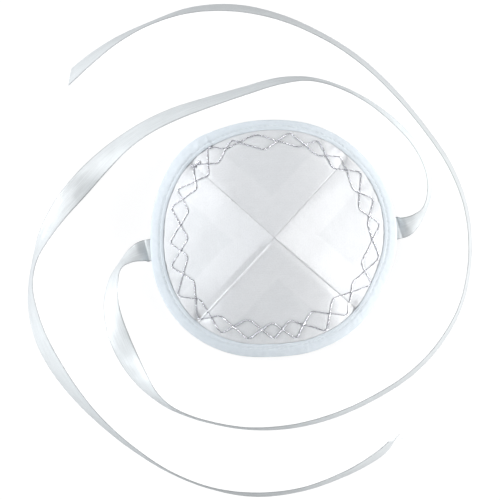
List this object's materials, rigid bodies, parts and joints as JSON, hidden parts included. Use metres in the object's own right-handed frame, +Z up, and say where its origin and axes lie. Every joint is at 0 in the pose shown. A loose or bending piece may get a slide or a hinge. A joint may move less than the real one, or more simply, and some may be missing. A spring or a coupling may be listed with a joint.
{
  "type": "kippah skullcap",
  "caption": "Small round satin skullcap for a baby, of quarter panels with a bound rim and long ribbon ties lying round it.",
  "frame": {"origin": "middle of the cap's base, on the surface that the cap rests on, without the ribbons", "axes": "+Z up through the crown, +Y towards the cap's back, +X towards its right ribbon"},
  "size_m": [0.2004, 0.2223, 0.0283],
  "materials": {
    "satin": "smooth white satin with a soft sheen",
    "binding": "pale bluish white bias binding, slightly duller than the satin",
    "ribbon": "white satin ribbon with woven edges",
    "silver_thread": "silver metallic embroidery thread",
    "sewing_thread": "white sewing thread"
  },
  "bodies": {
    "root": {"panel_front": "satin", "panel_right": "satin", "panel_back": "satin", "panel_left": "satin", "binding": "binding", "ribbon_left": "ribbon", "ribbon_right": "ribbon"}
  },
  "joints": []
}
